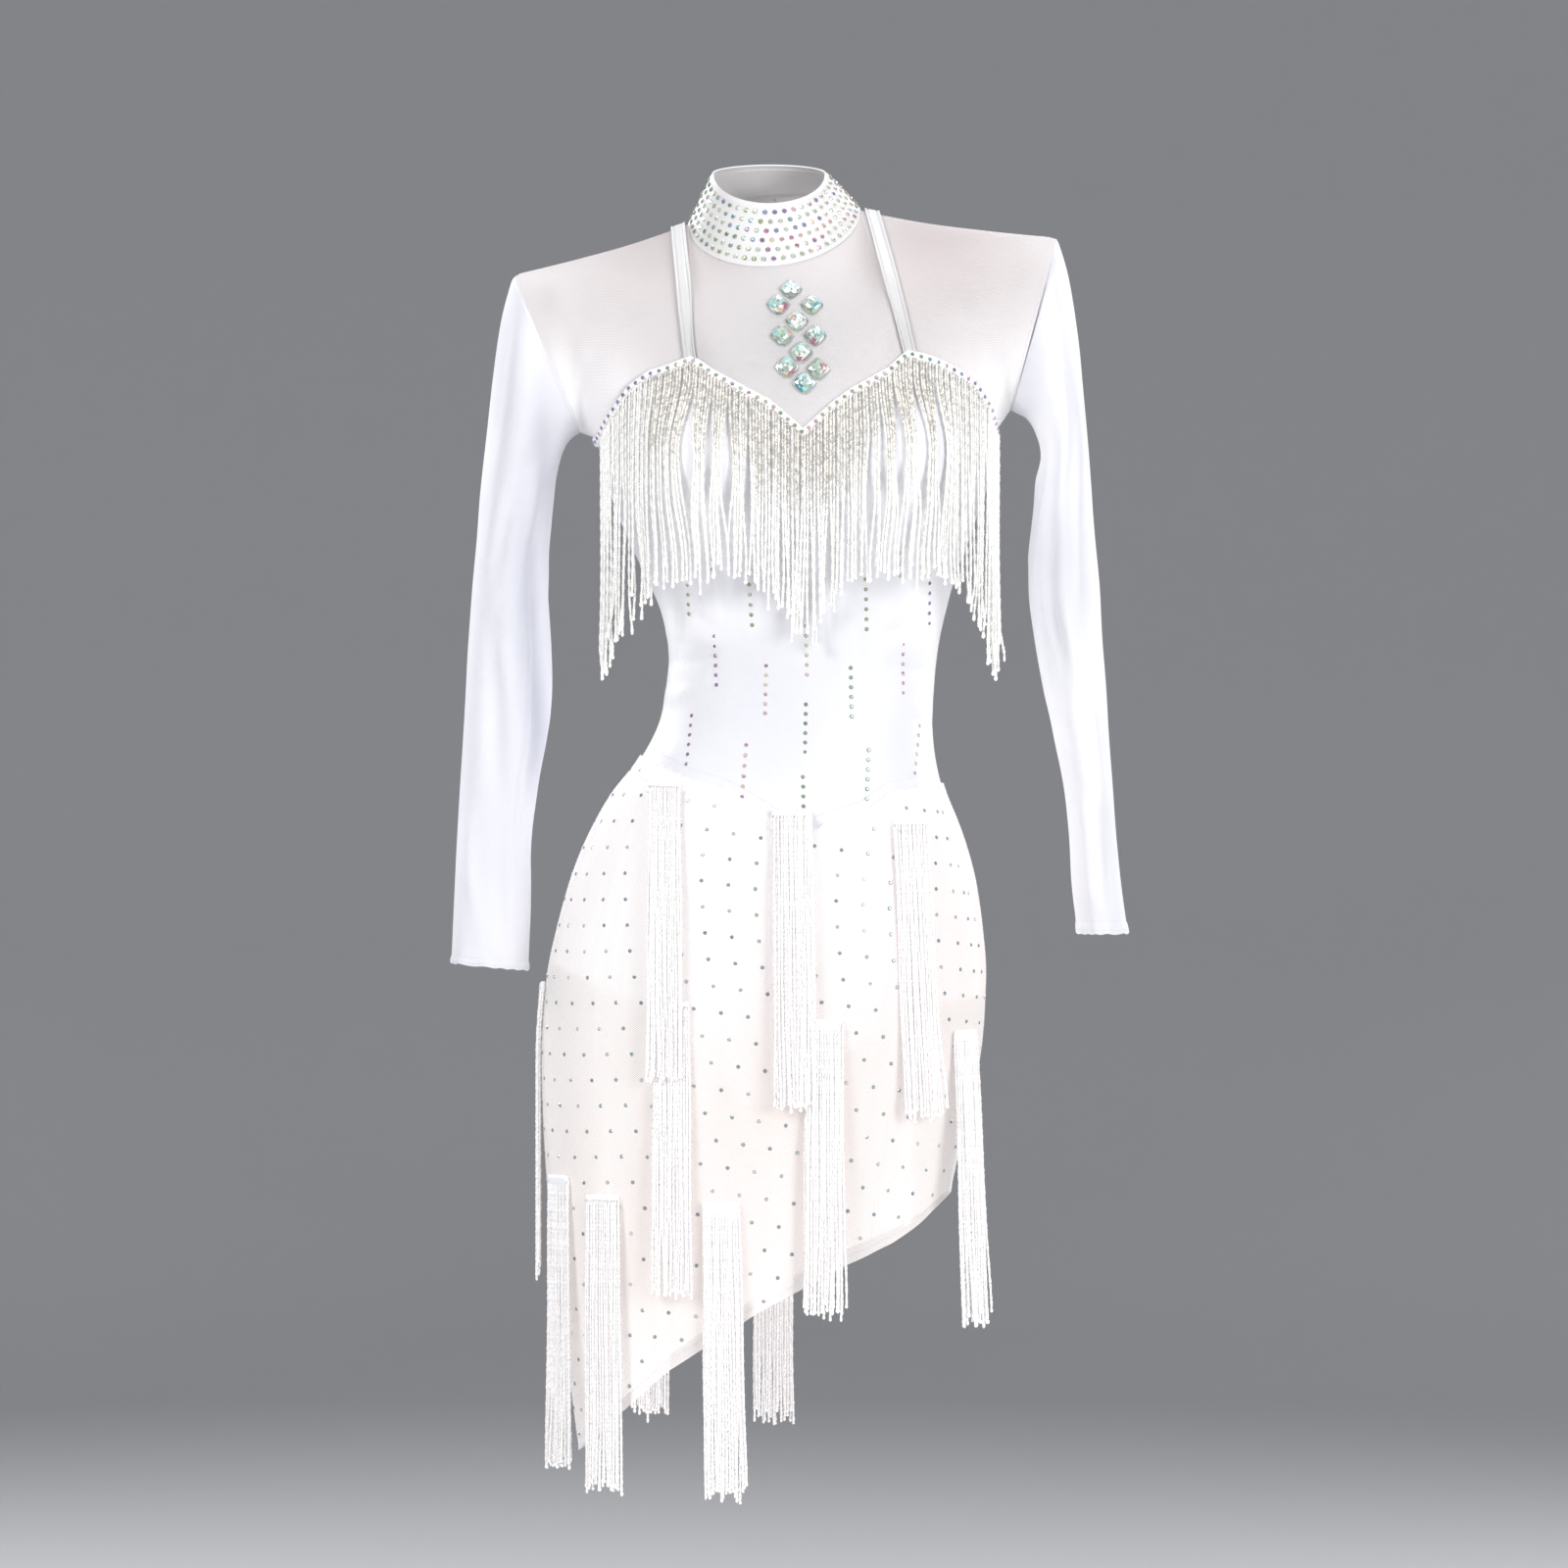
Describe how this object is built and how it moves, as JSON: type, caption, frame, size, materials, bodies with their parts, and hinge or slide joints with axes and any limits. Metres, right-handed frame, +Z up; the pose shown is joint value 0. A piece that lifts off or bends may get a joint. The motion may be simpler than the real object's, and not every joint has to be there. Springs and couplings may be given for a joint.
{
  "type": "ballroom dance dress",
  "caption": "Worn-shape white ballroom dance dress with a sheer yoke and sleeves, high collar, slanted sheer skirt, bust fringe and hanging tassels.",
  "frame": {"origin": "middle of the neck opening, level with the side of the collar's foot, where the wearer's neck and shoulders hold the dress", "axes": "+Z up, -Y towards the front of the dress, +X towards the wearer's left"},
  "size_m": [0.5527, 0.2619, 1.0797],
  "materials": {
    "lycra": "bright white stretch lycra, faintly blue, slight satin sheen",
    "sheer_mesh": "fine white stretch mesh, nearly opaque, matt",
    "skirt_mesh": "sheer white stretch mesh with a stone lattice",
    "strap_band": "white lycra band",
    "collar_cloth": "white lycra covered in rows of iridescent stones",
    "glitter_fringe": "silver-white glitter fringe strands",
    "tassel_fringe": "white glitter fringe strands in flat bundles",
    "crystal": "faceted crystal with an iridescent coating",
    "button": "small white buttons"
  },
  "bodies": {
    "root": {"bodice_back": "lycra", "bodice_front": "lycra", "brief_back": "lycra", "brief_front": "lycra", "brief_gusset": "lycra", "bust_fringe": "glitter_fringe", "collar": "collar_cloth", "collar_button_1": "button", "collar_button_2": "button", "collar_button_3": "button", "crystal_01": "crystal", "crystal_02": "crystal", "crystal_03": "crystal", "crystal_04": "crystal", "crystal_05": "crystal", "crystal_06": "crystal", "crystal_07": "crystal", "crystal_08": "crystal", "crystal_09": "crystal", "crystal_10": "crystal", "skirt_back": "skirt_mesh", "skirt_front": "skirt_mesh", "sleeve_left": "sheer_mesh", "sleeve_right": "sheer_mesh", "strap_left": "strap_band", "strap_right": "strap_band", "tassel_back_1": "tassel_fringe", "tassel_back_2": "tassel_fringe", "tassel_back_3": "tassel_fringe", "tassel_back_4": "tassel_fringe", "tassel_back_5": "tassel_fringe", "tassel_back_6": "tassel_fringe", "tassel_front_1": "tassel_fringe", "tassel_front_2": "tassel_fringe", "tassel_front_3": "tassel_fringe", "tassel_front_4": "tassel_fringe", "tassel_front_5": "tassel_fringe", "tassel_front_6": "tassel_fringe", "tassel_front_7": "tassel_fringe", "tassel_front_8": "tassel_fringe", "tassel_side_1": "tassel_fringe", "tassel_side_2": "tassel_fringe", "yoke_back_left": "sheer_mesh", "yoke_back_right": "sheer_mesh", "yoke_front": "sheer_mesh"}
  },
  "joints": []
}
